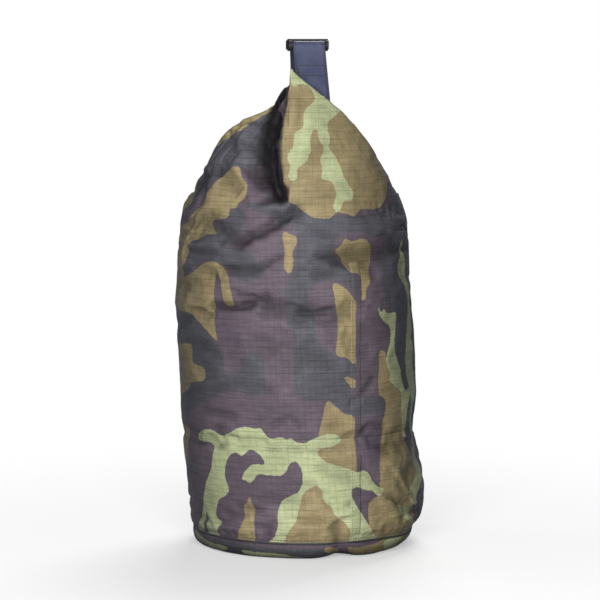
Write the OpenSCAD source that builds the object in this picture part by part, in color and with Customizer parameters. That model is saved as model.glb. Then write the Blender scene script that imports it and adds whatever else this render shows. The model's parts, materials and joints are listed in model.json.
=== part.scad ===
// Roll-top stuff sack, closed and full. The fabric tube stands on a round sewn base. Its mouth is
// flattened, rolled round a stiffener and bent up into a loop, which a side-release buckle closes.
// +Z is up, -Y is the front. The origin is on the floor under the middle of the base.

/* [Sack] */
// Diameter of the stuffed body
sack_d = 186; // [176:1:200]
// Height of the sewn edge of the round base
base_seam_z = 12; // [9:1:16]
// Height of the seam between the lower and the upper body panel
waist_z = 90; // [70:1:120]
// Height at which the body starts to curve in towards the roll
shoulder_z = 235; // [225:1:240]
// How far the full body leans to the left at the shoulder
lean = 11; // [0:1:14]
// Thickness that stands for the coated fabric
wall = 1.5; // [1:0.1:2]
// Width of the flat-felled side seam
side_seam_w = 9; // [6:1:14]

/* [Rolled mouth] */
// Radius of the middle of the roll, bent up into a loop
loop_r = 52; // [50:1:54]
// Height of the centre of the loop
loop_z = 322; // [320:1:324]
// Thickness of the rolled layers
roll_t = 8; // [6:1:9]
// Width of the roll
roll_w = 28; // [26:1:32]
// Angle by which each end of the roll rises past level
roll_rise = 40; // [34:1:44]
// Sideways place of the closure
closure_x = 0.8; // [0:0.1:6]
// Turn of the closure about the vertical
closure_yaw = 3; // [0:1:6]

/* [Webbing and buckle] */
// Width of the webbing
webbing_w = 25; // [20:1:25]
// Thickness of one layer of webbing
webbing_t = 1.5; // [1.2:0.1:1.6]
// Height of the middle of the buckle
buckle_z = 395; // [394:0.5:397]
// Width of the buckle's housing
buckle_w = 31; // [31:0.5:34]
// Thickness of the buckle's housing
buckle_t = 9.5; // [9.5:0.5:11]

/* [Hidden] */
$fn = 48;

// Fabric
around = 48;                      // facets round the sack
sack_r = sack_d / 2;
seam_gap = 0.2;                   // air between a seam tape and the panels
tape_t = 0.9;                     // thickness of a seam tape
tape_h = 8;                       // height of a seam tape
panel_gap = 0.4;                  // air between two panels at their seam
side_seam_a = 30;                 // place of the side seam, from the front towards the right
side_seam_steps = 12;             // facets along the side seam's height
dome_h = 22;                      // rise of the cavity above the shoulder
saddle_w = roll_w + 2;            // width of the saddle of gathered fabric that the roll rests in
roll_air = 0.5;                   // air between the roll and the fabric under it
near_top = 378;                   // height of the front peak
far_top = 340;                    // height of the back peak
side_top = 280;                   // height of the shoulder at the sides
near_reach = 57;                  // how far in front of the loop's centre the front peak stands
peak_lean = 13;                   // how far to the left the front peak's tip is pulled
far_reach = 62;                   // how far behind it the back peak stands
side_reach = 80;                  // how far to the side the shoulder's crest stands
ridge_curve = 0.72;               // 1 runs the ridge straight from a peak to a side, less bows it out
side_swell = 9;                   // how far the stuffed sides swell up beside the roll
near_rise = 30;                   // angle to which the gathered fabric follows the roll, front
far_rise = 8;                     // the same, back

// Closure
stiffener_t = 1.2;
stiffener_w = 24;
stiffener_air = 0.15;
bar_y = 24.8;                     // webbing bars, from the middle of the buckle
bar_z = buckle_z - 0.5;
bar_r = 1.9;
eye_r = bar_r + 0.1;              // inside of the webbing's eye round a bar
tab_t = 2 * webbing_t;
tab_in = loop_r + roll_t / 2 + 0.2;  // the tab's inner face runs past the roll at this radius
neck_l = 10;                      // from the bar to where the two layers of webbing meet
stitch_rows = [18.5, 27.5];       // distance of the stitch rows from the bar
stitch_n = 6;
stitch_l = 2.6;
stitch_w = 0.8;
stitch_h = 0.4;                   // how far a stitch stands proud of the webbing

// Buckle, from its own middle, with the mouth near y = 4
mouth_y = 4;
joint_gap = 0.4;                  // between the socket's mouth and the plug's frame
housing_y = -17;
frame_y = 17;
cavity_y = -15;
cavity_w = 12.6;                  // half width of the cavity
cavity_h = 3.1;                   // half height of the cavity
window_y = [-13.6, -2.2];
plug_t = 8;
ear_w = 2.6;                      // side arms of the webbing slots
ear_t = 7;
tongue_w = 5.2;
tongue_t = 3.6;
tongue_y = -13;
knuckle = [9.1, 6.6];             // root of a prong
knuckle_r = 2.6;
knuckle_air = 0.05;
prong_t = 5.5;
prong_air = 0.15;
scallop_r = 9;
scallop = [23, -7.9];
far = 1;
near = -1;

// ---- Fabric surfaces -------------------------------------------------------

function clamp01(t) = min(1, max(0, t));

// The stuffed body leans a little as it rises.
function lean_x(z) = 1 - lean * sin(90 * clamp01((z - 25) / (shoulder_z - 20)));

// Radius of the body: tucked in at the base seam, drawn in slightly at the waist seam.
function body_r(z) = sack_r - 3 * pow(1 - clamp01((z - base_seam_z) / 25), 2)
    - 1.5 * exp(-pow((z - waist_z) / 12, 2)) - 2.5 * pow(clamp01((z - 160) / 75), 2);

function wall_point(a, z, out) =
    [lean_x(z) + (body_r(z) + out) * sin(a), -(body_r(z) + out) * cos(a), z];

function wall_ring(z, out) = [for (i = [0 : around - 1]) wall_point(360 * i / around, z, out)];

// A wrapped sheet between two stacks of rings, as one closed solid.
module ring_sheet(outer, inner) {
    m = len(outer);
    n = len(outer[0]);
    points = concat([for (ring = outer) each ring], [for (ring = inner) each ring]);
    back = m * n;
    sides = [for (j = [0 : m - 2]) for (i = [0 : n - 1])
        let (k = (i + 1) % n) [j * n + i, (j + 1) * n + i, (j + 1) * n + k, j * n + k]];
    linings = [for (f = sides) [f[3] + back, f[2] + back, f[1] + back, f[0] + back]];
    rims = [for (i = [0 : n - 1]) let (k = (i + 1) % n, t = (m - 1) * n) each [
        [i, k, k + back, i + back],
        [t + k, t + i, t + i + back, t + k + back]]];
    polyhedron(points = points, faces = concat(sides, linings, rims), convexity = 6);
}

// A strip between two grids of points, as one closed solid.
module strip_sheet(outer, inner) {
    m = len(outer);
    n = len(outer[0]);
    points = concat([for (row = outer) each row], [for (row = inner) each row]);
    back = m * n;
    sides = [for (j = [0 : m - 2]) for (i = [0 : n - 2])
        [j * n + i, (j + 1) * n + i, (j + 1) * n + i + 1, j * n + i + 1]];
    linings = [for (f = sides) [f[3] + back, f[2] + back, f[1] + back, f[0] + back]];
    ends = [for (i = [0 : n - 2]) let (t = (m - 1) * n) each [
        [i, i + 1, i + 1 + back, i + back],
        [t + i + 1, t + i, t + i + back, t + i + 1 + back]]];
    edges = [for (j = [0 : m - 2]) let (a = j * n, b = (j + 1) * n) each [
        [b, a, a + back, b + back],
        [a + n - 1, b + n - 1, b + n - 1 + back, a + n - 1 + back]]];
    polyhedron(points = points, faces = concat(sides, linings, ends, edges), convexity = 4);
}

// The closure's frame: its own X across the webbing, Y along the buckle.
function in_closure(p) = [
    closure_x + p[0] * cos(closure_yaw) - p[1] * sin(closure_yaw),
    p[0] * sin(closure_yaw) + p[1] * cos(closure_yaw),
    p[2]];

module at_closure() {
    translate([closure_x, 0, 0]) rotate([0, 0, closure_yaw]) children();
}

// Angle round the loop of the gathered fabric at place a round the sack: front, bottom, back.
function gather_angle(a) = let (s = a <= 180 ? a : 360 - a)
    s < 90 ? near_rise - (near_rise + 90) * s / 90 : -90 - (90 + far_rise) * (s - 90) / 90;

function gather_point(a) = let (
    t = gather_angle(a),
    r = loop_r + roll_t / 2 + roll_air + 3.6 * clamp01(t / near_rise),
    side = min(1, abs(sin(a)) / 0.3) * sign(sin(a)) * saddle_w / 2
) in_closure([side, -r * cos(t), loop_z + r * sin(t)]);

// 1 at the front peak, falling to 0 within about 40 degrees of it.
function near_part(a) = exp(-pow((a <= 180 ? a : a - 360) / 20, 2));

// Crest of the shoulder: high at the front and back peaks, low at the sides.
function crest_point(a) = let (
    s = abs(sin(a)),
    top = (near_top + far_top) / 2 + (near_top - far_top) / 2 * cos(a),
    reach = (near_reach + far_reach) / 2 + (near_reach - far_reach) / 2 * cos(a)
) [closure_x + (lean_x(shoulder_z) - closure_x) * s + side_reach * sin(a) - peak_lean * near_part(a),
   -reach * cos(a),
   side_top + (top - side_top) * pow(1 - s, ridge_curve)];

function bezier(p, t) = pow(1 - t, 3) * p[0] + 3 * t * pow(1 - t, 2) * p[1]
    + 3 * t * t * (1 - t) * p[2] + pow(t, 3) * p[3];

// From the body's wall up to the crest: the sides round over, the peaks stay nearly straight.
function shoulder_point(a, t) = let (
    foot = wall_point(a, shoulder_z, 0),
    crest = crest_point(a),
    span = foot - crest,
    round_over = 0.3 + 0.5 * abs(sin(a))
) bezier([
    foot,
    foot - [0, 0, 0.4 * span[2]],
    crest + [round_over * span[0], round_over * span[1], 0.22 * span[2]],
    crest
], t);

function shoulder_ring(t) = [for (i = [0 : around - 1]) shoulder_point(360 * i / around, t)];

// From the crest in to the gathered fabric under the roll, swelling upwards at the sides.
function valley_ring(t) = [for (i = [0 : around - 1]) let (a = 360 * i / around)
    (1 - t) * crest_point(a) + t * gather_point(a) + [0, 0, side_swell * pow(sin(a), 2) * sin(180 * t)]];

function dome_ring(t) = let (r = (body_r(shoulder_z) - wall) * cos(t))
    [for (i = [0 : around - 1]) let (a = 360 * i / around)
        [lean_x(shoulder_z) + r * sin(a), -r * cos(a), shoulder_z + dome_h * sin(t)]];

// ---- Sack ------------------------------------------------------------------

module base_panel() {
    seat_r = sack_r - 13;
    top = base_seam_z - panel_gap;
    outline = [[seat_r, 0], [sack_r - 7, 1.2], [sack_r - 4, 4], [sack_r - 3.2, top]];
    lining = [[seat_r - 1, wall], [sack_r - 8, wall + 1.4], [sack_r - 5.6, 5], [sack_r - 4.8, top]];
    color("darkolivegreen") translate([1, 0, 0]) rotate_extrude($fn = around)
        polygon(concat([[0, 0]], outline,
            [for (i = [len(lining) - 1 : -1 : 0]) lining[i]], [[0, wall]]));
}

module seam_ring(z, h) {
    levels = [z - h / 2, z, z + h / 2];
    ring_sheet([for (q = levels) wall_ring(q, seam_gap + tape_t)], [for (q = levels) wall_ring(q, seam_gap)]);
}

module base_seam_binding() {
    h = 3;
    levels = [base_seam_z + panel_gap, base_seam_z + h];
    color("dimgray")
        ring_sheet([for (q = levels) wall_ring(q, seam_gap + tape_t)], [for (q = levels) wall_ring(q, seam_gap)]);
}

module body_panel(low, high) {
    levels = [for (k = [0 : 6]) low + (high - low) * k / 6];
    ring_sheet([for (q = levels) wall_ring(q, 0)], [for (q = levels) wall_ring(q, -wall)]);
}

module lower_body_panel() {
    color("olivedrab") body_panel(base_seam_z, waist_z - panel_gap);
}

module waist_seam_tape() {
    color("darkslategray") seam_ring(waist_z, tape_h);
}

module side_seam(low, high) {
    half_a = side_seam_w / 2 / sack_r * 180 / PI;
    angles = [side_seam_a - half_a, side_seam_a, side_seam_a + half_a];
    levels = [for (k = [0 : side_seam_steps]) low + (high - low) * k / side_seam_steps];
    strip_sheet([for (q = levels) [for (a = angles) wall_point(a, q, seam_gap + tape_t)]],
                [for (q = levels) [for (a = angles) wall_point(a, q, seam_gap)]]);
}

module lower_side_seam() {
    color("darkolivegreen") side_seam(base_seam_z + 4, waist_z - tape_h / 2 - 1);
}

module upper_side_seam() {
    color("darkolivegreen") side_seam(waist_z + tape_h / 2 + 1, shoulder_z - 2);
}

// The upper panel is one closed solid: its outside runs up to the gathered fabric under the roll,
// and its inside ends in a dome, so that the two peaks are solid gathered fabric.
module upper_body_panel() {
    low = waist_z;
    levels = [for (k = [0 : 8]) low + (shoulder_z - low) * k / 8];
    outer = concat([for (q = levels) wall_ring(q, 0)],
                   [for (t = [0.2 : 0.2 : 1]) shoulder_ring(t)],
                   [for (t = [0.25 : 0.25 : 1]) valley_ring(t)]);
    inner = concat([for (q = levels) wall_ring(q, -wall)], [for (t = [20 : 20 : 80]) dome_ring(t)]);
    n = around;
    top = (len(outer) - 1) * n;
    back = len(outer) * n;
    dome = back + (len(inner) - 1) * n;
    points = concat([for (ring = outer) each ring], [for (ring = inner) each ring],
                    [[lean_x(shoulder_z), 0, shoulder_z + dome_h]]);
    sides = [for (j = [0 : len(outer) - 2]) for (i = [0 : n - 1])
        let (k = (i + 1) % n) [j * n + i, (j + 1) * n + i, (j + 1) * n + k, j * n + k]];
    linings = [for (j = [0 : len(inner) - 2]) for (i = [0 : n - 1]) let (k = (i + 1) % n)
        [back + j * n + k, back + (j + 1) * n + k, back + (j + 1) * n + i, back + j * n + i]];
    rim = [for (i = [0 : n - 1]) let (k = (i + 1) % n) [i, k, k + back, i + back]];
    saddle = concat(
        [[top, top + n - 1, top + 1]],
        [for (i = [1 : n / 2 - 2]) [top + i, top + n - i, top + n - i - 1, top + i + 1]],
        [[top + n / 2 - 1, top + n / 2 + 1, top + n / 2]]);
    roof = [for (i = [0 : n - 1]) let (k = (i + 1) % n) [dome + i, dome + k, len(points) - 1]];
    color("olive")
        polyhedron(points = points, faces = concat(sides, linings, rim, saddle, roof), convexity = 8);
}

// ---- Rolled mouth ----------------------------------------------------------

// An arc of constant section round the loop, from the front end through the bottom to the back end.
module loop_arc(rise) {
    translate([0, 0, loop_z]) rotate([0, 90, 0]) rotate([0, 0, -90 - rise])
        rotate_extrude(angle = 180 + 2 * rise, $fn = 96) children();
}

module rolled_mouth() {
    slot_t = stiffener_t + 2 * stiffener_air;
    slot_w = stiffener_w + 2 * stiffener_air;
    color("olive") at_closure() loop_arc(roll_rise) difference() {
        translate([loop_r - roll_t / 2, -roll_w / 2]) square([roll_t, roll_w]);
        translate([loop_r - slot_t / 2, -slot_w / 2]) square([slot_t, slot_w]);
    }
}

module mouth_stiffener() {
    color("black") at_closure() loop_arc(roll_rise)
        translate([loop_r - stiffener_t / 2, -stiffener_w / 2]) square([stiffener_t, stiffener_w]);
}

// ---- Webbing tabs ----------------------------------------------------------

// The tab hangs from its bar and meets the outside of the roll on a tangent.
tab_mid = tab_in + tab_t / 2;
bar_reach = norm([bar_y, bar_z - loop_z]);
bar_angle = atan2(bar_z - loop_z, bar_y);
touch_angle = bar_angle - acos(tab_mid / bar_reach);
tab_l = sqrt(bar_reach * bar_reach - tab_mid * tab_mid);

// Tab frame: origin on the bar, +X down the webbing, +Y out of its outer face, +Z across it.
module at_tab(side) {
    at_closure() translate([0, side * bar_y, bar_z])
        multmatrix([[0, 0, side, 0],
                    [side * sin(touch_angle), side * cos(touch_angle), 0, 0],
                    [-cos(touch_angle), sin(touch_angle), 0, 0],
                    [0, 0, 0, 1]]) children();
}

module tab_outline() {
    difference() {
        union() {
            circle(r = eye_r + webbing_t, $fn = 32);
            hull() {
                circle(r = eye_r + webbing_t - 0.02, $fn = 32);
                translate([neck_l, -tab_t / 2]) square([1, tab_t]);
            }
            translate([neck_l, -tab_t / 2]) square([tab_l - neck_l, tab_t]);
        }
        circle(r = eye_r, $fn = 32);
    }
}

module webbing_tab(side) {
    at_tab(side) linear_extrude(height = webbing_w, center = true, convexity = 4) tab_outline();
}

module tab_stitching(side) {
    pitch = (webbing_w - 3) / stitch_n;
    at_tab(side) for (row = stitch_rows) for (k = [0 : stitch_n - 1])
        translate([row, 0, (k - (stitch_n - 1) / 2) * pitch])
            cube([stitch_w, tab_t + 2 * stitch_h, stitch_l], center = true);
}

module socket_tab() {
    color("dimgray") webbing_tab(near);
}

module plug_tab() {
    color("dimgray") webbing_tab(far);
}

module socket_tab_stitching() {
    color("black") tab_stitching(near);
}

module plug_tab_stitching() {
    color("black") tab_stitching(far);
}

// ---- Buckle ----------------------------------------------------------------

module at_buckle() {
    at_closure() translate([0, 0, buckle_z]) children();
}

module block(x0, x1, y0, y1, half_h) {
    translate([x0, y0, -half_h]) cube([x1 - x0, y1 - y0, 2 * half_h]);
}

// Two ears and the bar that the webbing goes round.
module webbing_slot(side, root_y) {
    half = buckle_w / 2;
    for (s = [-1, 1]) {
        x0 = s > 0 ? half - ear_w : -half;
        y0 = min(side * (abs(root_y) - 0.5), side * bar_y);
        y1 = max(side * (abs(root_y) - 0.5), side * bar_y);
        block(x0, x0 + ear_w, y0, y1, ear_t / 2);
        translate([x0, side * bar_y, 0]) rotate([0, 90, 0]) cylinder(r = ear_t / 2, h = ear_w);
    }
    translate([-half + 1, side * bar_y, bar_z - buckle_z]) rotate([0, 90, 0])
        cylinder(r = bar_r, h = buckle_w - 2);
}

module rounded_block(y0, y1, half_h, r) {
    half = buckle_w / 2;
    block(-half, half, y0 + r, y1 - r, half_h);
    block(-half + r, half - r, y0, y1, half_h);
    for (x = [-half + r, half - r]) for (y = [y0 + r, y1 - r])
        translate([x, y, -half_h]) cylinder(r = r, h = 2 * half_h);
}

module buckle_socket() {
    color("black") at_buckle() {
        difference() {
            rounded_block(housing_y, mouth_y, buckle_t / 2, 2);
            block(-cavity_w, cavity_w, cavity_y, mouth_y + 1, cavity_h);
            block(-buckle_w, buckle_w, window_y[0], window_y[1], cavity_h);
            for (s = [-1, 1])
                translate([s * scallop[0], scallop[1], -buckle_t]) cylinder(r = scallop_r, h = 2 * buckle_t);
        }
        webbing_slot(near, housing_y);
    }
}

module buckle_plug() {
    color("black") at_buckle() {
        difference() {
            rounded_block(mouth_y + joint_gap, frame_y, plug_t / 2, 1.5);
            for (s = [-1, 1]) {
                translate([s * knuckle[0], knuckle[1], -prong_t / 2 - prong_air])
                    cylinder(r = knuckle_r + knuckle_air, h = prong_t + 2 * prong_air);
                block(s > 0 ? knuckle[0] - 2.1 : -knuckle[0] - 1.6, s > 0 ? knuckle[0] + 1.6 : -knuckle[0] + 2.1,
                      mouth_y, knuckle[1], prong_t / 2 + prong_air);
            }
        }
        block(-tongue_w / 2, tongue_w / 2, tongue_y, mouth_y + 1, tongue_t / 2);
        webbing_slot(far, frame_y);
    }
}

// Right-hand prong, seen from above: an arm, a catch shoulder and a finger pad.
prong_outline = [
    [10.5, 6.6], [10.5, -2.7], [14.0, -3.0], [15.5, -5.2], [16.2, -8.3], [15.4, -11.2],
    [13.9, -12.6], [12.0, -13.2], [10.2, -12.7], [9.6, -9.5], [8.4, -2.0], [7.7, 6.6]
];

module prong() {
    translate([0, 0, -prong_t / 2]) {
        linear_extrude(height = prong_t) polygon(prong_outline);
        translate([knuckle[0], knuckle[1], 0]) cylinder(r = knuckle_r, h = prong_t);
    }
}

module release_prong_left() {
    color("black") at_buckle() mirror([1, 0, 0]) prong();
}

module release_prong_right() {
    color("black") at_buckle() prong();
}

base_panel();
base_seam_binding();
lower_body_panel();
lower_side_seam();
waist_seam_tape();
upper_body_panel();
upper_side_seam();
rolled_mouth();
mouth_stiffener();
socket_tab();
socket_tab_stitching();
buckle_socket();
plug_tab();
plug_tab_stitching();
buckle_plug();
release_prong_left();
release_prong_right();
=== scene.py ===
"""Looks of a roll-top stuff sack in camouflage ripstop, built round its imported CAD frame.

Lengths are in millimetres and angles in degrees, unless a name says otherwise. Meshes are turned into
metres as they are made. An angle round the sack is 0 at the front (-Y) and grows towards +X.
"""
import json
import math

import bpy
import numpy as np
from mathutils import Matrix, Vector


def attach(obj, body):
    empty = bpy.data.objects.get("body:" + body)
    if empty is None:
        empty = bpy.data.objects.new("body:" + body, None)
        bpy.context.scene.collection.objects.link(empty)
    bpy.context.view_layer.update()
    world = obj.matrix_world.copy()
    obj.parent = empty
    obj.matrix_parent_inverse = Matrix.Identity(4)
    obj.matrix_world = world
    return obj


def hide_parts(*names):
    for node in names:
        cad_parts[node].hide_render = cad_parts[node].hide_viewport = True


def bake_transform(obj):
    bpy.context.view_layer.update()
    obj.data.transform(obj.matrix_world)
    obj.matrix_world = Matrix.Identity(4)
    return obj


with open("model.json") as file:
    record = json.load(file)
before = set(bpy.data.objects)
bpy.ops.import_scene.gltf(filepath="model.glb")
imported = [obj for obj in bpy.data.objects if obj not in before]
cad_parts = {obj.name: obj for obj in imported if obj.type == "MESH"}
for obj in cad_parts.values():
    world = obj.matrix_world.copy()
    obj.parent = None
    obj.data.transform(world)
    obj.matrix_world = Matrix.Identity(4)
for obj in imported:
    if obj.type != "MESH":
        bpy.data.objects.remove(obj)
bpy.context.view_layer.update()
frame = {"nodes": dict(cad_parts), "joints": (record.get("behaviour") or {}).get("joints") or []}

METRES = 0.001

# Camera
EYE = np.array([-4.8, -2300.0, 400.0])
AIM = np.array([-4.8, 0.0, 193.0])
VIEW_WIDTH = 477.0

# Sack
BASE_SEAM_Z = 12.0
WAIST_Z = 90.0
SHOULDER_Z = 235.0
SACK_R = 93.0
GIRTH = 2 * math.pi * SACK_R
LEAN = 11.0
LEAN_FROM = 25.0
LEAN_OVER = 215.0
SEAM_X = 38.0
NEAR_TOP = 377.0
FAR_TOP = 340.0
SIDE_TOP = 280.0
NEAR_REACH = 58.5
FAR_REACH = 62.0
SIDE_REACH = 80.0
SIDE_SWELL = 9.0

# Closure, from the joints: its turn about the vertical, its place and the buckle's height
release, squeeze_left, squeeze_right = frame["joints"]
YAW = math.atan2(-release["axis"][0], release["axis"][1])
BUCKLE_Z = squeeze_left["pos_m"][2] / METRES
KNUCKLE_Y = 6.6
CLOSURE_X = (squeeze_left["pos_m"][0] + squeeze_right["pos_m"][0]) / 2 / METRES + KNUCKLE_Y * math.sin(YAW)
LOOP_R = 52.0
LOOP_Z = 322.0
ROLL_RISE = 40.0
ROLL_T = 8.0
ROLL_W = 27.0
ROLL_OUT = LOOP_R + ROLL_T / 2
NEAR_RISE = 30.0
FAR_RISE = 8.0
WEBBING_W = 25.0
WEBBING_T = 1.5
BAR_R = 1.9
BAR_Y = 24.8
BAR_Z = BUCKLE_Z - 0.5
STITCH_ROWS = [18.5, 27.5]

# The sack's grid: its columns, and its rows in each band from the base seam up. It is doubled later.
AROUND = 168
LOWER_ROWS = 23
UPPER_ROWS = 42
PEAK_ROWS = 26
VALLEY_ROWS = 14
CREST_ROW = LOWER_ROWS + UPPER_ROWS + PEAK_ROWS
COLS = 2 * AROUND


# ---- Small helpers ---------------------------------------------------------

def smooth(t):
    t = np.clip(t, 0, 1)
    return t * t * (3 - 2 * t)


def bell(x, centre, width):
    return np.exp(-(((x - centre) / width) ** 2))


def waves(p, wavelength, seed, count=7):
    """Smooth noise of about -1 to 1 at points p, as a sum of a few seeded plane waves."""
    rng = np.random.default_rng(seed)
    total = np.zeros(p.shape[:-1])
    for _ in range(count):
        way = rng.normal(size=3)
        way /= np.linalg.norm(way)
        step = 2 * math.pi / (wavelength * rng.uniform(0.7, 1.5))
        total += np.sin(p @ way * step + rng.uniform(0, 2 * math.pi))
    return total / math.sqrt(count * 2)


def curve_points(points, steps, closed=False):
    """A smooth curve through a few points."""
    p = np.array(points, float)
    n = len(p)
    at = np.arange(n if closed else n - 1)
    places = [at - 1, at, at + 1, at + 2]
    a, b, c, d = (p[k % n if closed else np.clip(k, 0, n - 1)][:, None] for k in places)
    t = (np.arange(steps) / steps)[:, None]
    out = 0.5 * (2 * b + (c - a) * t + (2 * a - 5 * b + 4 * c - d) * t * t + (3 * b - a - 3 * c + d) * t ** 3)
    out = out.reshape(-1, p.shape[1])
    return out if closed else np.concatenate([out, p[-1:]])


def run_length(points):
    """Length along a line, from its start to each of its points."""
    return np.concatenate([[0], np.cumsum(np.linalg.norm(np.diff(points, axis=0), axis=1))])


def segment_distance(p, a, b):
    """Distance of points p from the straight line between a and b."""
    ab = b - a
    t = np.clip(((p - a) @ ab) / max(ab @ ab, 1e-9), 0, 1)
    return np.linalg.norm(p - a - t[:, None] * ab, axis=1)


def line_distance(p, points):
    """Distance of points p from an open run of straight lines."""
    return np.min([segment_distance(p, a, b) for a, b in zip(points[:-1], points[1:])], axis=0)


def outline_distance(p, outline, reach):
    """Distance of points p from a closed outline, negative inside. Beyond reach it stays at reach."""
    out = np.full(len(p), reach)
    near = np.where(np.all((p > outline.min(0) - reach) & (p < outline.max(0) + reach), axis=1))[0]
    if len(near) == 0:
        return out
    q = p[near]
    inside = np.zeros(len(q), bool)
    for a, b in zip(outline, np.roll(outline, -1, axis=0)):
        crosses = (a[1] > q[:, 1]) != (b[1] > q[:, 1])
        rise = b[1] - a[1] if abs(b[1] - a[1]) > 1e-9 else 1e-9
        inside ^= crosses & (q[:, 0] < a[0] + (q[:, 1] - a[1]) / rise * (b[0] - a[0]))
    best = line_distance(q, np.concatenate([outline, outline[:1]]))
    out[near] = np.minimum(np.where(inside, -best, best), reach)
    return out


def refine(grid):
    """Doubles a grid of values that is closed round its columns, smoothly."""
    before, after = np.roll(grid, 1, axis=1), np.roll(grid, -1, axis=1)
    wide = np.empty((grid.shape[0], grid.shape[1] * 2) + grid.shape[2:])
    wide[:, 0::2] = grid
    wide[:, 1::2] = (9 * (grid + after) - before - np.roll(grid, -2, axis=1)) / 16
    padded = np.concatenate([2 * wide[:1] - wide[1:2], wide, 2 * wide[-1:] - wide[-2:-1]])
    tall = np.empty((wide.shape[0] * 2 - 1,) + wide.shape[1:])
    tall[0::2] = wide
    tall[1::2] = (9 * (padded[1:-2] + padded[2:-1]) - padded[:-3] - padded[3:]) / 16
    return tall


def columns(count):
    """Angles of the columns of a grid that closes round the sack, starting at the back."""
    return np.arange(count) / count * 360 - 180


def normals(grid):
    """Outward normals of a grid whose rows climb and whose columns go round."""
    across = np.roll(grid, -1, axis=1) - np.roll(grid, 1, axis=1)
    n = np.cross(across, np.gradient(grid, axis=0))
    return n / np.maximum(np.linalg.norm(n, axis=-1, keepdims=True), 1e-9)


# ---- Shape of the filled sack ----------------------------------------------

def lean_x(z):
    return 1 - LEAN * np.sin(np.radians(90 * np.clip((z - LEAN_FROM) / LEAN_OVER, 0, 1)))


def wall_radius(a, z):
    """Radius of the body: tucked in at the base seam, and a little dented on the right."""
    right = np.maximum(0, np.sin(np.radians(a))) ** 2
    foot = np.clip(1 - (z - BASE_SEAM_Z) / 36, 0, 1) ** 2
    return (SACK_R - (1.0 + 7.0 * right) * foot - 2.5 * np.clip((z - 160) / 75, 0, 1) ** 2
            - 0.6 * bell(z, WAIST_Z, 7) - 3.0 * right * bell(z, 88, 20) + 1.4 * right * bell(z, 48, 18))


def wall(a, z):
    r = wall_radius(a, z)
    rad = np.radians(a)
    return np.stack([lean_x(z) + r * np.sin(rad), -r * np.cos(rad), z + 0 * a], axis=-1)


def in_closure(x, y, z):
    """From the closure's own frame, X across the webbing and Y along the buckle, to the row frame."""
    c, s = math.cos(YAW), math.sin(YAW)
    return np.stack(np.broadcast_arrays(CLOSURE_X + x * c - y * s, x * s + y * c, z), -1)


def gather(a, tuck, pressed_in=0.0):
    """Where the fabric goes in under the roll. tuck moves it in towards the middle of the roll.

    Where the ridge in front is pressed in, the fabric goes down beside the roll, to stay behind the ridge.
    """
    s = np.abs(a) / 90
    t = np.where(s < 1, NEAR_RISE - (NEAR_RISE + 90) * s, (90 + FAR_RISE) * (s - 1) - 90)
    low = -np.degrees(np.arccos(np.clip((LOOP_R - 5 - 1.1 * pressed_in) / ROLL_OUT, 0, 1)))
    t = np.radians(t + (np.minimum(t, low) - t) * smooth(pressed_in / 6))
    r = ROLL_OUT + 1.0 + 3.6 * np.clip(np.degrees(t) / NEAR_RISE, 0, 1) - 1.5 * tuck
    share = np.minimum(1, np.abs(np.sin(np.radians(a))) / 0.3) * np.sign(a)
    side = share * (ROLL_W / 2 + 1) * (1 - 0.5 * tuck)
    return in_closure(side, -r * np.cos(t), LOOP_Z + r * np.sin(t))


def crest(a):
    """The ridge of the shoulder: a tip at the front, a lower one at the back, low at the sides."""
    rad = np.radians(a)
    s = np.abs(np.sin(rad))
    near = (1 + np.cos(rad)) / 2
    top = FAR_TOP + (NEAR_TOP - FAR_TOP) * near
    reach = FAR_REACH + (NEAR_REACH - FAR_REACH) * near
    x = CLOSURE_X + (lean_x(SHOULDER_Z) - CLOSURE_X) * s + SIDE_REACH * np.sin(rad)
    x += 2.2 * bell(a, -2.1, 1.2) - 13 * bell(a, 0, 20)
    z = SIDE_TOP + (top - SIDE_TOP) * (1 - s) ** 0.72
    z += 7 * bell(a, -45, 15) - 10 * smooth(-a / 2.1) * bell(a, -2.1, 19)
    return np.stack([x, -reach * np.cos(rad), z], -1)


def shoulder(a, t):
    """From the wall up to the ridge: the sides round over, and the peaks stay nearly straight."""
    foot, top = wall(a, np.full_like(a, SHOULDER_Z)), crest(a)
    span = foot - top
    over = (0.3 + 0.5 * np.abs(np.sin(np.radians(a))))[:, None]
    second = foot - span * np.array([0, 0, 0.4])
    third = top + span * np.concatenate([over, over, np.full_like(over, 0.22)], axis=1)
    return ((1 - t) ** 3 * foot + 3 * t * (1 - t) ** 2 * second + 3 * t * t * (1 - t) * third + t ** 3 * top)


def valley(a, t, ridge):
    """From the ridge down to where the fabric goes in under the roll."""
    pressed_in = np.where(np.abs(a) < 60, np.maximum(0, ridge[:, 1] - crest(a)[:, 1] - 1.5), 0)
    # The fabric left of the pleat goes down with it, or it would cross in front of the pleat
    reach = 24
    pressed_in = np.max([np.roll(pressed_in, -k) * (1 - k / reach) for k in range(reach)], axis=0)
    p = (1 - t) * ridge + t * gather(a, 0.0, pressed_in)
    p[:, 1] += 11 * smooth(pressed_in / 8) * math.sin(math.pi * t) ** 0.6
    p[:, 2] += SIDE_SWELL * np.sin(np.radians(a)) ** 2 * math.sin(math.pi * t)
    return p


def sack_grid():
    """Rows from the base seam up to the ridge of the shoulder, with the front in the middle column."""
    a = columns(AROUND)
    lower = np.linspace(BASE_SEAM_Z, WAIST_Z, LOWER_ROWS + 1)
    upper = np.linspace(WAIST_Z, SHOULDER_Z, UPPER_ROWS + 1)[1:]
    rows = [wall(a, np.full_like(a, z)) for z in (*lower, *upper)]
    return np.array(rows + [shoulder(a, t) for t in np.linspace(0, 1, PEAK_ROWS + 1)[1:]])


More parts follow.
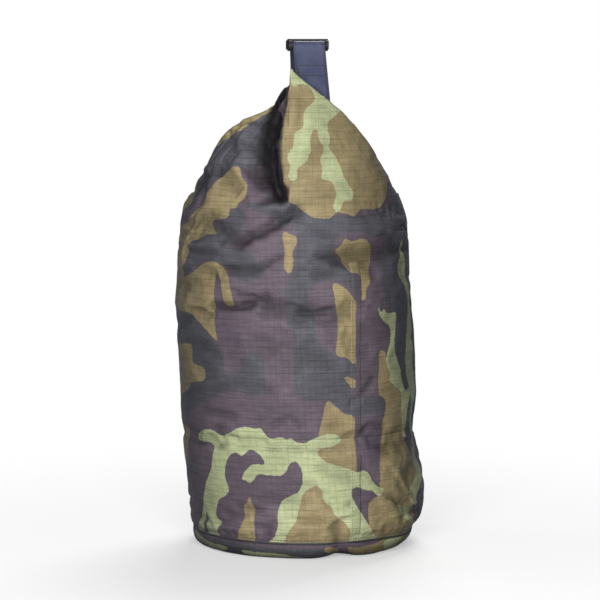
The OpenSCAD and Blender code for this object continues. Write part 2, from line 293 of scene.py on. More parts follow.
def with_valley(grid):
    """Carries the sack on from its ridge, down the valley and in under the roll."""
    a = columns(AROUND)
    rows = [valley(a, t, grid[-1]) for t in np.linspace(0, 1, VALLEY_ROWS + 1)[1:]]
    under = [rows[-1] + gather(a, tuck) - gather(a, 0.0) for tuck in (0.5, 1.0)]
    return np.concatenate([grid, rows, under])


# ---- The sack as seen from the front ---------------------------------------

def project(p):
    """Where points appear, seen from the eye, on the plane of the sack's axis: x and z."""
    s = (p[..., 1] - EYE[1]) / -EYE[1]
    return np.stack([EYE[0] + (p[..., 0] - EYE[0]) / s, EYE[2] + (p[..., 2] - EYE[2]) / s], -1)


def side_angle(share):
    """Angle whose sine is share. Near the side it goes on evenly, so that a shape can reach round it."""
    steep_from = 0.95
    slope = 1 / math.sqrt(1 - steep_from ** 2)
    past = np.sign(share) * np.maximum(0, np.abs(share) - steep_from) * slope
    return np.arcsin(np.clip(share, -steep_from, steep_from)) + past


def on_wall(q):
    """The angle and height on the wall, carried on upwards, that appear at the seen places q."""
    angle = np.zeros(q.shape[:-1])
    for _ in range(6):
        s = 1 - SACK_R * np.cos(angle) / -EYE[1]
        x = EYE[0] + (q[..., 0] - EYE[0]) * s
        z = EYE[2] + (q[..., 1] - EYE[2]) * s
        angle = side_angle((x - lean_x(z)) / (SACK_R - 1.0))
    return np.degrees(angle), z


def unroll(outline):
    """A smooth outline on the unrolled fabric, from the places that it is seen at."""
    angle, z = on_wall(curve_points(outline, 4, closed=True))
    return np.stack([SACK_R * np.radians(angle), z], -1)


# ---- Folds -----------------------------------------------------------------

# The pleat beside the near peak, as seen: the height, the peak's left edge there, and the depth beside it
PLEAT = np.array([(266, -12, 0), (276, -15, 2), (286, -17.5, 9), (300, -19, 15), (316, -19.5, 21),
                  (333, -17.5, 28), (345, -15.5, 28), (353, -14.2, 16), (361, -13.8, 5), (382, -13.2, 2)])
PLEAT_BOTTOM = [(-17, 362), (-20, 350), (-23, 338), (-27, 325), (-29.5, 312), (-28.5, 299), (-25, 286),
                (-20, 274)]

# Folds of the front, as seen: places (x, z), depth inwards, half width. A negative depth stands proud.
FOLDS = [
    ([(-19, 280), (-24, 276), (-36, 273)], 3.5, 7),
    ([(-12, 271), (-22, 268), (-36, 265), (-47, 262)], -3.0, 6),
    ([(-13, 262), (-22, 255), (-36, 247), (-52, 239)], 3.5, 10),
    ([(-50, 333), (-63, 318), (-71, 303), (-77, 286), (-79, 270), (-87, 257), (-94, 240), (-97, 222)],
     -3.5, 8),
    ([(-60, 322), (-72, 307), (-80, 293), (-81, 279), (-84, 266), (-90, 255)], 4.5, 8),
    ([(-40, 343), (-52, 331), (-60, 322)], 3, 6),
    ([(-58, 316), (-66, 303), (-70, 294)], 2.5, 5),
    ([(-82, 292), (-90, 281)], 3.5, 7),
    ([(-73, 189), (-58, 187), (-44, 188)], 2.2, 5),
    ([(-64, 218), (-42, 217), (-30, 223), (-18, 231)], 2.4, 6),
    ([(-60, 205), (-40, 200)], -1.2, 9),
    ([(-78, 104), (-58, 99)], 1.8, 7),
    ([(-28, 92), (-14, 97), (-6, 92)], 2.0, 4),
    ([(-4, 183), (6, 181), (20, 186)], 1.2, 5),
    ([(36, 110), (46, 119), (53, 129)], 1.8, 4),
    ([(44, 87), (50, 92), (62, 92)], 2.0, 4),
    ([(15, 31), (21, 25), (30, 26), (38, 31)], 1.6, 4),
    ([(24, 20), (33, 22), (41, 27)], -1.4, 4),
    (PLEAT_BOTTOM, 5.0, 6),
    ([(58, 306), (66, 296), (70, 284)], 2.0, 9),
    ([(44, 58), (60, 40), (74, 30)], 1.6, 8),
    ([(66, 62), (80, 44), (86, 30)], -1.6, 8),
    ([(24, 8), (27, -4)], 2.5, 9),
    ([(-30, 120), (-50, 124), (-72, 121)], 1.4, 8),
    ([(-8, 214), (0, 196), (-2, 176)], 0.8, 12),
]


BACK_FOLDS = 46


def fold_front(grid):
    """Presses the pleat and the named folds into the front of the sack."""
    seen = project(grid).reshape(-1, 2)
    out = normals(grid)
    facing = smooth((-out[..., 1] + 0.3) / 0.3).reshape(-1)
    depth = np.zeros(len(seen))
    for points, deep, width in FOLDS:
        depth += deep * np.maximum(0, 1 - line_distance(seen, curve_points(points, 4)) / width) ** 1.4
    left = np.interp(seen[:, 1], PLEAT[:, 0], PLEAT[:, 1]) - seen[:, 0]
    deep = np.interp(seen[:, 1], PLEAT[:, 0], PLEAT[:, 2])
    depth += deep * smooth(left / 6) * (1 - smooth((left - 13) / 22))
    depth -= 0.18 * deep * bell(left, -3, 7)
    push = (depth * facing).reshape(grid.shape[:2])
    return grid - out * np.array([0.6, 1, 0.1]) * push[..., None]


def fold_rest(grid):
    """Presses small seeded folds into the sides and the back."""
    rng = np.random.default_rng(5)
    out = normals(grid)
    back = smooth((out[..., 1] + 0.25) / 0.4)
    push = np.zeros(grid.shape[:2])
    for _ in range(BACK_FOLDS):
        at = rng.uniform(-180, 180)
        level = rng.uniform(20, 330)
        tilt = rng.uniform(-0.9, 0.9)
        half = rng.uniform(14, 42)
        width = rng.uniform(4, 9)
        deep = rng.uniform(1.2, 3.0) * rng.choice([1, 1, -0.7])
        u = np.radians(np.mod(columns(AROUND) - at + 180, 360) - 180) * SACK_R
        v = grid[..., 2] - level
        along = u * math.cos(tilt) + v * math.sin(tilt)
        across = v * math.cos(tilt) - u * math.sin(tilt)
        push += deep * np.maximum(0, 1 - np.abs(across) / width) ** 1.4 * smooth(1.4 - np.abs(along) / half)
    return grid - out * (push * back)[..., None]


def fabric_place(grid):
    """Where each point lies on the unrolled fabric: u round the sack and v up it.

    u is kept as the difference from the plain wrapped place, so that it closes round the sack.
    """
    angle = columns(AROUND) + 0 * grid[..., 0]
    seen_angle, seen_z = on_wall(project(grid))
    side = smooth((np.abs(angle) - 58) / 27)
    u = SACK_R * np.radians(seen_angle * (1 - side) + angle * side)
    v = seen_z * (1 - side) + grid[..., 2] * side
    climb = np.cumsum(np.linalg.norm(np.diff(grid[CREST_ROW:], axis=0), axis=-1), axis=0)
    u[CREST_ROW + 1:] = u[CREST_ROW]
    v[CREST_ROW + 1:] = v[CREST_ROW] + climb
    return np.stack([u - SACK_R * np.radians(angle), v], -1)


# ---- Meshes ----------------------------------------------------------------

def link(name, data):
    obj = bpy.data.objects.new(name, data)
    bpy.context.scene.collection.objects.link(obj)
    return obj


def new_object(name, points, faces):
    mesh = bpy.data.meshes.new(name)
    mesh.from_pydata([tuple(p) for p in np.asarray(points, float).reshape(-1, 3) * METRES], [], faces)
    mesh.validate()
    mesh.update()
    mesh.polygons.foreach_set("use_smooth", [True] * len(mesh.polygons))
    return link(name, mesh)


def grid_faces(rows, cols, closed=True, flip=False):
    faces = []
    for r in range(rows - 1):
        for c in range(cols if closed else cols - 1):
            d = (c + 1) % cols
            quad = (r * cols + c, r * cols + d, (r + 1) * cols + d, (r + 1) * cols + c)
            faces.append(quad[::-1] if flip else quad)
    return faces


# ---- Settling and the finished skin ----------------------------------------

CLOTH = {
    "quality": 6, "mass": 0.3, "tension_stiffness": 20, "compression_stiffness": 12, "shear_stiffness": 6,
    "bending_stiffness": 0.08, "use_pressure": True, "uniform_pressure_force": 3.0,
    "vertex_group_mass": "held", "pin_stiffness": 1.0, "shrink_min": -0.06,
}
LAST_FRAME = 20
TRAVEL_CAP = 2.8
TRAVEL_KEPT = 0.75
BULGE_TAKEN_OFF = 0.9
PEAK_CALMED = 0.75


def blur(field, cols, rows):
    """Three box blurs, round the sack and up it."""
    for _ in range(3):
        field = sum(np.roll(field, k, axis=1) for k in range(-cols, cols + 1)) / (2 * cols + 1)
        padded = np.pad(field, ((rows, rows), (0, 0), (0, 0)), mode="edge")
        field = sum(padded[k:k + len(field)] for k in range(2 * rows + 1)) / (2 * rows + 1)
    return field


def held_by(grid):
    """How firmly the simulation holds each point: hard at the ends, softly at seams, pleat and peak."""
    seen = project(grid)
    x, z, y = seen[..., 0], seen[..., 1], grid[..., 1]
    hold = np.full(grid.shape[:2], 0.04)
    hold[:2] = 1
    hold[-4:] = 1
    hold[LOWER_ROWS] = 0.12
    pleat = bell(x, -24, 16) * smooth((z - 270) / 20) * (y < 0)
    peak = smooth((x + 20) / 6) * smooth((z - 262) / 12) * (y < -20)
    right = smooth((x - 36) / 12) * smooth((z - 250) / 25) * smooth(-y / 30)
    ridge = np.zeros(hold.shape)
    ridge[CREST_ROW - 2:CREST_ROW + 3] = 0.35
    return np.max([hold, 0.6 * pleat, 0.2 * peak, 0.7 * right, ridge], axis=0)


def settle(grid):
    """Lets pressure and slack buckle the filled fabric, by a cloth simulation with capped travel."""
    obj = new_object("settling", grid, grid_faces(*grid.shape[:2]))
    hold = np.round(held_by(grid).ravel(), 2)
    group = obj.vertex_groups.new(name="held")
    for level in np.unique(hold):
        group.add(np.where(hold == level)[0].tolist(), float(level), "REPLACE")
    cloth = obj.modifiers.new("Cloth", "CLOTH")
    for key, value in CLOTH.items():
        setattr(cloth.settings, key, value)
    cloth.settings.effector_weights.gravity = 0
    cloth.collision_settings.use_self_collision = False
    scene = bpy.context.scene
    for f in range(1, LAST_FRAME + 1):
        scene.frame_set(f)
    evaluated = obj.evaluated_get(bpy.context.evaluated_depsgraph_get())
    co = np.empty(grid.size)
    evaluated.data.vertices.foreach_get("co", co)
    scene.frame_set(1)
    bpy.data.objects.remove(obj)
    moved = co.reshape(grid.shape) / METRES - grid
    # The wrinkles are kept and the wide bulge, which would change the measured outline, is mostly taken off
    moved = TRAVEL_KEPT * (moved - BULGE_TAKEN_OFF * blur(moved, 3, 3))
    far = np.linalg.norm(moved, axis=-1, keepdims=True)
    return grid + moved * (TRAVEL_CAP * np.tanh(far / TRAVEL_CAP) / np.maximum(far, 1e-6))


def keep_taut(grid, calm):
    """The near peak is pulled taut by the roll, so it keeps the calm shape there."""
    seen = project(calm)
    front = smooth((-calm[..., 1] - 5) / 25)
    taut = smooth((seen[..., 0] + 17) / 5) * smooth((seen[..., 1] - 262) / 14) * front
    return grid + (calm - grid) * (PEAK_CALMED * taut)[..., None]


def pleat_shade():
    """Painted shade along the bottom of the pleat, where hardly any light comes in."""
    seen = project(skin)
    away = line_distance(seen.reshape(-1, 2), curve_points(PLEAT_BOTTOM, 4)).reshape(ROWS, COLS)
    deep = 3.6 + 3.0 * smooth((seen[..., 1] - 300) / 35)
    shade = deep * bell(away, 0, 5.5) + 1.4 * bell(away, 0, 11)
    shade[:, np.abs(columns(COLS)) > 90] = 0
    shade[2 * CREST_ROW + 3:] = 0
    return shade


plain = sack_grid()
pressed = with_valley(fold_rest(fold_front(plain)))
shaped = pressed + normals(pressed) * (0.9 * waves(pressed, 90, 3) + 0.45 * waves(pressed, 38, 4))[..., None]
settled = settle(shaped)

# The fine grid: its points, its normals, its place on the unrolled fabric and painted shading from how deep
# each hollow is
skin = keep_taut(refine(settled), refine(pressed))
skin += normals(skin) * (0.2 * waves(skin, 14, 8, 9))[..., None]
skin_out = normals(skin)
skin_fabric = refine(fabric_place(with_valley(plain)))
ROWS = len(skin)
SKIN_WAIST = 2 * LOWER_ROWS
# Painted shading: hollows darken the print and ridges lighten it a little, as light would; the pleat's
# painted shade is added
skin_painted_shading = np.sum((blur(skin, 7, 7) - skin) * skin_out, axis=-1)
skin_painted_shading += pleat_shade() - blur(skin_painted_shading[..., None], 20, 20)[..., 0]


def sample(field, row, col):
    """Values of the fine grid at fractional rows and columns."""
    row = np.clip(row, 0, ROWS - 1.001)
    col = np.mod(col, COLS)
    r, c = row.astype(int), col.astype(int)
    fr, fc = (row - r)[..., None], (col - c)[..., None]
    d = (c + 1) % COLS
    low = field[r, c] * (1 - fc) + field[r, d] * fc
    high = field[r + 1, c] * (1 - fc) + field[r + 1, d] * fc
    return low * (1 - fr) + high * fr


def on_skin(row, col, lift):
    """Points lifted off the skin along its normals, at fractional rows and columns."""
    return sample(skin, row, col) + sample(skin_out, row, col) * np.asarray(lift)[..., None]


def fabric_uv(row, col):
    """Place on the unrolled fabric at fractional rows and columns. The last column closes the turn."""
    place = sample(skin_fabric, row, col)
    place[..., 0] += SACK_R * np.radians(col / COLS * 360 - 180)
    return place


def column_of(angle):
    return (angle + 180) / 360 * COLS


def row_of(z):
    """Row of the fine grid at a height on the wall."""
    z = np.asarray(z, float)
    low = (z - BASE_SEAM_Z) / (WAIST_Z - BASE_SEAM_Z) * SKIN_WAIST
    high = SKIN_WAIST + (z - WAIST_Z) / (SHOULDER_Z - WAIST_Z) * 2 * UPPER_ROWS
    return np.where(z < WAIST_Z, low, high)


# ---- Camouflage ------------------------------------------------------------
# Each shape is a smooth outline through a few places (x, z), as seen from the front.

SLATE = [
    [(-12, 268), (10, 259), (45, 261), (84, 264), (84, 236), (58, 245), (30, 247), (22, 236), (29, 221),
     (39, 212), (40, 197), (28, 207), (12, 208), (4, 200), (0, 189), (-15, 190), (-13, 214), (-6, 238)],
    [(-14, 192), (0, 190), (8, 176), (10, 160), (22, 149), (32, 146), (40, 138), (36, 124), (40, 114),
     (62, 114), (63, 104), (40, 100), (28, 105), (17, 112), (2, 112), (-10, 122), (-8, 150), (-13, 172)],
    [(-106, 246), (-90, 240), (-78, 245), (-71, 250), (-66, 257), (-54, 266), (-48, 262), (-50, 252),
     (-60, 240), (-62, 234), (-46, 232), (-38, 223), (-32, 214), (-45, 208), (-58, 212), (-66, 222),
     (-84, 223), (-94, 212), (-104, 205), (-114, 222)],
    [(-76, 316), (-62, 330), (-46, 337), (-37, 344), (-33, 330), (-33, 303), (-48, 298), (-60, 296),
     (-70, 290), (-86, 274), (-96, 262), (-97, 285), (-86, 304)],
    [(-50, 270), (-36, 270), (-24, 272), (-14, 275), (-4, 268), (-11, 256), (-18, 250), (-26, 259),
     (-40, 264)],
    [(-100, 184), (-86, 178), (-72, 160), (-65, 150), (-64, 134), (-52, 136), (-50, 148), (-36, 147),
     (-32, 128), (-40, 116), (-62, 121), (-76, 112), (-88, 106), (-96, 96), (-108, 100), (-114, 130),
     (-111, 165)],
    [(60, 264), (84, 268), (98, 240), (101, 200), (98, 150), (95, 96), (82, 58), (78, 90), (79, 130),
     (74, 142), (72, 178), (62, 192), (60, 215), (66, 240)],
]

OLIVE = [
    [(-58, 298), (-52, 298), (-51, 290), (-47, 284), (-48, 276), (-54, 269), (-54, 266), (-60, 265),
     (-61, 259), (-68, 257), (-75, 256), (-74, 250), (-71, 245), (-78, 245), (-86, 241), (-91, 238),
     (-94, 222), (-104, 216), (-106, 236), (-96, 254), (-84, 266), (-76, 280), (-66, 293)],
    [(-73, 223.5), (-68, 221), (-62, 213), (-60, 206), (-58, 194), (-58, 189), (-62, 188), (-65, 192),
     (-67, 205), (-69, 213), (-71, 214), (-72, 208), (-72, 190), (-72, 172), (-70, 160), (-78, 168),
     (-88, 179), (-95, 184), (-106, 187), (-111, 196), (-103, 207), (-90, 214), (-82, 221)],
    [(-18, 246), (-13, 245), (-8, 243), (-7, 238), (-10, 232), (-10, 222), (-11, 216), (-14, 215), (-17, 219),
     (-17, 232)],
    [(30, 243), (36, 241), (44, 243), (50, 240), (53, 233), (52, 222), (50, 215), (50, 207), (47, 200),
     (46, 193), (43, 194), (43, 208), (41, 213), (35, 214), (31, 220), (29, 226), (24, 233), (28, 237)],
    [(21, 206), (29, 203), (35, 197), (39.5, 190), (39, 178), (39.5, 162), (39.5, 148), (39, 139), (33, 146),
     (24, 149), (25, 165), (25, 180), (23, 192)],
    [(30, 131), (39, 129), (39, 120), (35, 124)],
    [(17, 112), (24, 107), (30, 102), (38, 99), (38.5, 85), (39, 70), (39, 54), (20, 58), (7, 70), (9, 80),
     (13, 98)],
    [(-98, 158), (-91, 157), (-90, 148), (-89, 142), (-82, 139), (-80, 133), (-82, 128), (-91, 127),
     (-94, 121), (-101, 118), (-110, 126), (-113, 142), (-106, 156)],
    [(58, 152), (62, 151), (64, 142), (66, 132), (67, 126), (73, 122), (76, 114), (76, 98), (77, 85),
     (79, 78), (86, 64), (90, 52), (85, 38), (86, 22), (84, 2), (78, -8), (62, -10), (54, 0), (50, 14),
     (50, 30), (58, 38), (58, 60), (60, 80), (61, 96), (63, 107), (62, 114), (58, 117), (57, 125), (58, 140)],
    [(-12, 372), (-14, 350), (-17, 334), (-22, 320), (-20, 302), (-18, 286), (-14, 272), (-8, 269), (-2, 263),
     (6, 258), (18, 258), (23, 262), (31, 262), (38, 260), (43, 265), (56, 266), (62, 272), (65, 285),
     (63, 300), (60, 312), (44, 332), (28, 346), (12, 362), (-2, 376)],
    [(-48, 333), (-41, 339), (-34, 345), (-33, 351), (-40, 352), (-52, 343)],
    [(-77, 309), (-68, 317), (-56, 326), (-47, 331), (-52, 339), (-70, 329), (-84, 314)],
    [(-88, 290), (-82, 297), (-76, 303), (-84, 307), (-94, 296)],
    [(-103, 94), (-94, 91), (-93, 72), (-95, 62), (-103, 58), (-111, 66), (-112, 84)],
    [(-45, 37), (-43, 30), (-41, 25), (-41, 12), (-41, 2), (-43, -8), (-54, -8), (-55, 2), (-52, 10),
     (-49, 18), (-50, 28), (-47, 30)],
    [(7, 46), (14, 41), (15, 32), (21, 28), (24, 20), (33, 14), (38, 4), (36, -12), (-22, -12), (-15, 5),
     (-8, 16), (-5, 28), (-3, 36), (1, 42)],
]

GREEN = [
    [(-13, 378), (-12, 368), (-10, 362), (-5, 364), (1, 363), (5, 358), (7, 353), (4, 348), (0, 345),
     (-2, 340), (-2, 331), (-5, 328), (-9, 325), (-10, 315), (-14, 309), (-14, 304), (-12, 299), (-14, 290),
     (-10, 288), (-7, 290), (-7, 297), (-4, 300), (1, 304), (2, 308), (4, 312), (3, 320), (5, 327), (9, 329),
     (9, 324), (11, 319), (14, 315), (13, 309), (11, 304), (13, 298), (12, 291), (14, 289), (20, 287),
     (23, 282), (24, 275), (21, 268), (22, 264), (25, 263), (28, 268), (30, 272), (35, 272), (37, 275),
     (36, 281), (30, 291), (25, 303), (21, 310), (18, 315), (19, 320), (17, 327), (17, 333), (19, 336),
     (23, 339), (27, 345), (20, 356), (8, 366), (-2, 376)],
    [(-84, 88), (-78, 90), (-74, 89.5), (-70, 86), (-66, 84.5), (-62, 86), (-55, 90), (-48, 91.5), (-42, 90),
     (-36, 90), (-32, 85), (-28, 82), (-20, 83), (-16, 81), (-12, 82.5), (-8, 79), (-2, 78), (5, 81),
     (12, 84), (20, 85.5), (26, 84), (28, 80), (22, 76), (12, 73.5), (9, 70), (12, 66), (18, 62), (28, 59),
     (38, 56), (41, 54.5), (46, 56), (50, 53), (53, 47), (57, 43), (62, 41.5), (61, 37), (57, 36), (52, 40),
     (46, 41), (41, 43), (37, 42), (36, 37), (40, 28), (46, 19), (52, 9), (58, -1), (52, -9), (40, -10),
     (35, -6), (36, 5), (33, 12), (27, 17), (22, 22), (20, 27), (16, 30), (13, 34), (13, 40), (8, 44),
     (2, 41), (-3, 36), (-5, 27), (-8, 15), (-14, 7), (-20, -6), (-30, -10), (-37, -4), (-30, -2), (-25, 3),
     (-22, 12), (-22, 24), (-19, 32), (-12, 36), (-6, 39), (-3, 46), (-3, 55), (-6, 62), (-10, 63), (-14, 60),
     (-16, 55), (-20, 52), (-28, 52), (-38, 53), (-41, 50), (-44, 46), (-48, 48), (-51, 49), (-49, 55),
     (-44, 60), (-38, 61), (-33, 60.5), (-35, 66), (-40, 71), (-45, 72.5), (-49, 69), (-52, 68), (-56, 70.5),
     (-61, 67), (-64, 59), (-64, 50), (-61, 41), (-64, 36), (-69, 33), (-71, 27), (-71, 20), (-67, 15),
     (-70, 10), (-71, 5), (-66, -3), (-71, -6), (-77, 0), (-79.5, 8), (-78, 18), (-79, 24), (-80.5, 16),
     (-83, 8), (-84, 3), (-87, 9), (-84.5, 16), (-82, 26), (-81, 38), (-79, 48), (-75, 58), (-73, 70),
     (-73, 76), (-77, 79), (-84, 80), (-86.5, 84)],
    [(56, 187), (59, 183), (61, 185), (64, 182), (71, 182), (71, 170), (69.5, 160), (72, 148), (75, 138),
     (77, 124), (79, 121), (82, 122), (80, 108), (79, 95), (79, 84), (77, 84), (76, 95), (75, 108), (75, 119),
     (70, 124), (66, 128), (66, 135), (63, 142), (64, 150), (66, 158), (67, 166), (66, 172), (62, 175),
     (58, 180)],
    [(75.5, 248), (76.5, 232), (78.5, 222), (78, 213), (80, 203), (81.5, 188), (82.5, 170), (84, 150),
     (86, 130), (85, 112), (85.5, 95), (86, 78), (83.5, 90), (82.5, 112), (81, 124), (79, 140), (79.5, 165),
     (79.5, 188), (78, 200), (75.5, 207), (73, 214), (73, 221), (75, 230)],
    [(87, 86), (86, 68), (88, 56), (86, 48), (83, 40), (84, 33), (87, 29), (88.5, 36), (90, 46), (92.5, 52),
     (91, 64), (89, 76)],
    [(73, 29), (79, 27), (84, 27), (83, 20), (87, 13), (86, 2), (80, -2), (76, 4), (80, 10), (80, 16),
     (76, 20), (74, 25)],
]

# The underside and rim of the base, as seen
BASE_SLATE = [
    [(-70, 0), (-40, -5), (-12, -8), (10, -7), (18, -10), (8, -20), (-24, -20), (-60, -14), (-78, -4)],
]
BASE_OLIVE = [
    [(33, -6), (42, -6), (50, -4), (58, -2), (66, 4), (80, 8), (92, 14), (84, -4), (70, -12), (52, -18),
     (40, -14)],
    [(14, -7), (22, -6), (26, -9), (18, -11)],
]
BASE_GREEN = [
    [(-90, 9), (-84, 3), (-76, -2), (-68, -4), (-62, -7), (-70, -8), (-80, -4), (-88, 2)],
    [(-52, -8), (-44, -9), (-36, -10), (-24, -11), (-12, -13), (2, -15), (-8, -18), (-22, -15), (-36, -14),
     (-48, -11)],
    [(62, -2), (68, 2), (72, 6), (78, 8), (76, 1), (70, -5), (64, -8)],
]


BACK_TOP = 352.0
PRINT_REACH = 12.0


def front_and_back(outlines):
    """The print of the front, and the same upside down on the half that faces away."""
    front = [unroll(s) for s in outlines]
    return front + [np.array([GIRTH / 2, BACK_TOP]) - s[::-1] for s in front]


PRINT = {"slate": front_and_back(SLATE), "olive": front_and_back(OLIVE), "green": front_and_back(GREEN)}
BASE_PRINT = {
    "slate": front_and_back(BASE_SLATE),
    "olive": [unroll(s) for s in BASE_OLIVE],
    "green": [unroll(s) for s in BASE_GREEN],
}


def store(obj, name, values):
    """Keeps one number for each point of the mesh, for the fabric's material to read."""
    layer = obj.data.attributes.new(name, "FLOAT", "POINT")
    layer.data.foreach_set("value", np.asarray(values, np.float32).ravel())


def paint(obj, place, shapes=PRINT):
    """Stores how far each point is from each colour of the print."""
    place = place.reshape(-1, 2)
    for colour, outlines in shapes.items():
        turned = [outline + np.array([turn, 0]) for outline in outlines for turn in (-GIRTH, 0, GIRTH)]
        store(obj, colour, np.min([outline_distance(place, t, PRINT_REACH) for t in turned], axis=0))


def lay_out(obj, corners):
    """Writes the fabric's own u and v, in metres, as the piece's UV map."""
    layer = obj.data.uv_layers.new(name="Fabric")
    layer.data.foreach_set("uv", (np.asarray(corners) * METRES).astype(np.float32).ravel())


def lay_out_points(obj, place):
    """The same, from one place for each point."""
    lay_out(obj, place.reshape(-1, 2)[[i for face in obj.data.polygons for i in face.vertices]])


def ring_piece(name, row, col, lift=0.0):
    """A printed band of fabric all round the sack. The last column of row and col closes the turn."""
    points = on_skin(row, col, lift)[:, :-1]
    obj = new_object(name, points, grid_faces(*points.shape[:2]))
    place = fabric_uv(row, col)
    paint(obj, place[:, :-1])
    low, high = place[:-1], place[1:]
    lay_out(obj, np.stack([low[:, :-1], low[:, 1:], high[:, 1:], high[:, :-1]], 2))
    return obj


# ---- Materials -------------------------------------------------------------

class Nodes:
    """A node tree, with short calls for the nodes that the materials share.

    Inputs are given by name or number, as values or as sockets to link from.
    """

    def __init__(self, owner):
        owner.use_nodes = True
        self.owner = owner
        self.tree = owner.node_tree

    def fill(self, node, inputs):
        for key, value in inputs.items():
            if isinstance(value, bpy.types.NodeSocket):
                self.tree.links.new(value, node.inputs[key])
            else:
                node.inputs[key].default_value = value

    def add(self, kind, inputs=None, **settings):
        """The outputs of a new node."""
        node = self.tree.nodes.new("ShaderNode" + kind)
        for key, value in settings.items():
            setattr(node, key, value)
        self.fill(node, inputs or {})
        return node.outputs

    def math(self, operation, a, b=0.0, c=0.0):
        return self.add("Math", {0: a, 1: b, 2: c}, operation=operation)[0]

    def product(self, *values):
        total = values[0]
        for value in values[1:]:
            total = self.math("MULTIPLY", total, value)
        return total

    def ridges(self, along, size):
        """Rises and falls from 0 to 0.5 and back, once in each size metres."""
        return self.math("PINGPONG", self.product(along, 1 / size), 0.5)

    def mix(self, factor, a, b, blend="MIX"):
        return self.add("Mix", {0: factor, 6: a, 7: b}, data_type="RGBA", blend_type=blend)[2]

    def noise(self, vector, scale, detail=2.0, rough=0.5):
        inputs = {"Vector": vector, "Scale": scale, "Detail": detail, "Roughness": rough}
        return self.add("TexNoise", inputs)["Fac"]

    def remap(self, value, low, high, to_low=0.0, to_high=1.0, kind="LINEAR"):
        inputs = {"Value": value, "From Min": low, "From Max": high, "To Min": to_low, "To Max": to_high}
        return self.add("MapRange", inputs, interpolation_type=kind)["Result"]

    def ramp(self, value, low, high, to_low=0.0, to_high=1.0):
        return self.remap(value, low, high, to_low, to_high, "SMOOTHSTEP")

    def stored(self, name):
        return self.add("Attribute", attribute_name=name)["Fac"]

    def fabric_place(self):
        """The fabric's place as a vector, and its two parts."""
        uv = self.add("UVMap", uv_map="Fabric")[0]
        place = self.add("SeparateXYZ", {0: uv})
        return uv, place[0], place[1]

    def streaks(self, u, v, scale_u, scale_v, detail):
        """Noise that runs as streaks along one set of threads."""
        place = self.add("CombineXYZ", {0: self.product(u, scale_u), 1: self.product(v, scale_v)})
        return self.noise(place[0], 1.0, detail)

    def surface(self, height, distance, strength, **inputs):
        """Fills the shader's inputs, named with _ for a space, and its bump. Gives the finished material."""
        bumped = self.add("Bump", {"Height": height, "Distance": distance, "Strength": strength})["Normal"]
        named = {key.replace("_", " "): value for key, value in inputs.items()}
        self.fill(self.tree.nodes["Principled BSDF"], {"Normal": bumped, **named})
        return self.owner


PLUM = (0.093, 0.072, 0.09, 1)
SLATE_GREY = (0.07, 0.069, 0.08, 1)
OLIVE_TAN = (0.228, 0.183, 0.097, 1)
LIGHT_GREEN = (0.325, 0.355, 0.2, 1)
RIPSTOP = 0.005
WEAVE = 0.0008


def camo_fabric():
    """Coated ripstop: the stored print, the reinforcing threads, the weave, fading, and painted shade in
    creases and at low angles.
    """
    m = Nodes(bpy.data.materials.new("camo_ripstop"))
    uv, u, v = m.fabric_place()
    wobble = m.math("MULTIPLY_ADD", m.noise(uv, 260.0, 3.0), 1.6, -0.8)
    colour = PLUM
    layers = (("slate", SLATE_GREY, 1.4), ("olive", OLIVE_TAN, 0.3), ("green", LIGHT_GREEN, 0.3))
    for name, value, soft in layers:
        away = m.math("ADD", m.stored(name), wobble)
        colour = m.mix(m.ramp(away, -soft, soft, 1.0, 0.0), colour, value)

    def threads(along, wander):
        line = m.math("ADD", m.product(along, 1 / RIPSTOP), m.product(wander, 0.25))
        return m.product(m.math("PINGPONG", line, 0.5), 2.0)

    warp = threads(u, m.streaks(u, v, 900.0, 45.0, 1.0))
    weft = threads(v, m.streaks(u, v, 45.0, 900.0, 1.0))
    grid = m.product(m.ramp(warp, 0.0, 0.12, 0.3, 1.0), m.ramp(weft, 0.0, 0.14, 0.0, 1.0))
    streak = m.streaks(u, v, 60.0, 620.0, 2.0)
    streak_up = m.streaks(u, v, 620.0, 90.0, 2.0)
    # Painted shading stored with the mesh: darker in creases and under the base, a little lighter on ridges
    painted_shading = m.stored("painted_shading")
    # Painted shade: the colour darkens where the fabric is seen at a low angle, so the sides look darker from
    # any view
    facing = m.add("LayerWeight", {"Blend": 0.5})["Facing"]
    tone = m.product(
        m.remap(m.noise(uv, 28.0, 4.0), 0.3, 0.7, 0.86, 1.12),
        m.remap(grid, 0.0, 1.0, 0.86, 1.03),
        m.remap(streak, 0.3, 0.75, 1.1, 0.8),
        m.remap(streak_up, 0.3, 0.75, 1.06, 0.92),
        m.remap(painted_shading, -0.8, 2.2, 1.12, 0.52),
        m.remap(painted_shading, 2.0, 7.0, 1.0, 0.3),
        m.remap(facing, 0.1, 0.65, 1.0, 0.5))
    tint = m.add("CombineXYZ", {0: tone, 1: tone, 2: tone})[0]
    height = m.product(grid, -0.3)
    height = m.math("MULTIPLY_ADD", m.math("ADD", m.ridges(u, WEAVE), m.ridges(v, WEAVE)), 0.12, height)
    height = m.math("MULTIPLY_ADD", m.noise(uv, 55.0, 5.0, 0.6), 2.6, height)
    height = m.math("MULTIPLY_ADD", streak, 0.5, height)
    return m.surface(
        height, 0.0006, 0.9,
        Base_Color=m.mix(1.0, colour, tint, "MULTIPLY"),
        Roughness=m.remap(m.noise(uv, 120.0, 3.0), 0.3, 0.7, 0.5, 0.66),
        Sheen_Weight=0.06, Sheen_Roughness=0.35, Sheen_Tint=(0.75, 0.82, 1.0, 1), Specular_IOR_Level=0.17)


